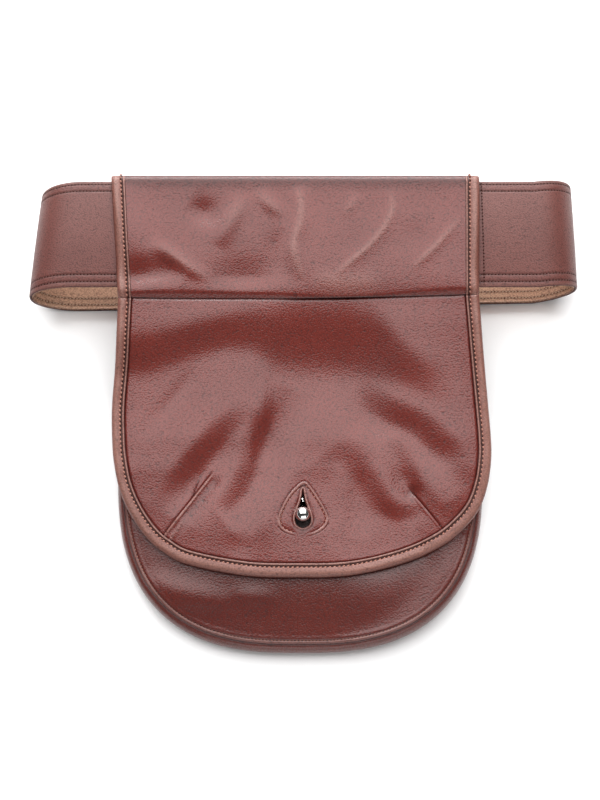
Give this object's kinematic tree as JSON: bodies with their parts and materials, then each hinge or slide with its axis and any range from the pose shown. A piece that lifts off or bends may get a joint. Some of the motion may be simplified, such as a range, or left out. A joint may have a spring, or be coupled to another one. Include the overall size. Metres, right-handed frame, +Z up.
{
  "type": "waist bag",
  "caption": "Soft leather waist bag lying on its back: a rounded pocket under a bound flap that closes on a ball stud, and a wide lined belt looped through its folded yoke.",
  "frame": {"origin": "middle of the bag's footprint, on the table that it lies on", "axes": "+X across the bag to the wearer's left as the front is seen, +Y from the pocket's bottom to the top fold, +Z up from the table, out of the bag's front"},
  "size_m": [0.3742, 0.3192, 0.053],
  "materials": {
    "brown_leather": "satin",
    "edge_leather": "satin",
    "tan_leather": "matt",
    "polished_steel": "polished",
    "fastening_pad": "matt"
  },
  "bodies": {
    "root": {"yoke": "brown_leather", "yoke_binding_left": "edge_leather", "yoke_binding_right": "edge_leather", "flap": "brown_leather", "flap_binding": "edge_leather", "keyhole_rim": "edge_leather", "pocket_front": "brown_leather", "pocket_back": "brown_leather", "gusset": "brown_leather", "ball_stud": "polished_steel", "belt_outer": "brown_leather", "belt_lining": "tan_leather", "belt_clasp": "fastening_pad"}
  },
  "joints": []
}
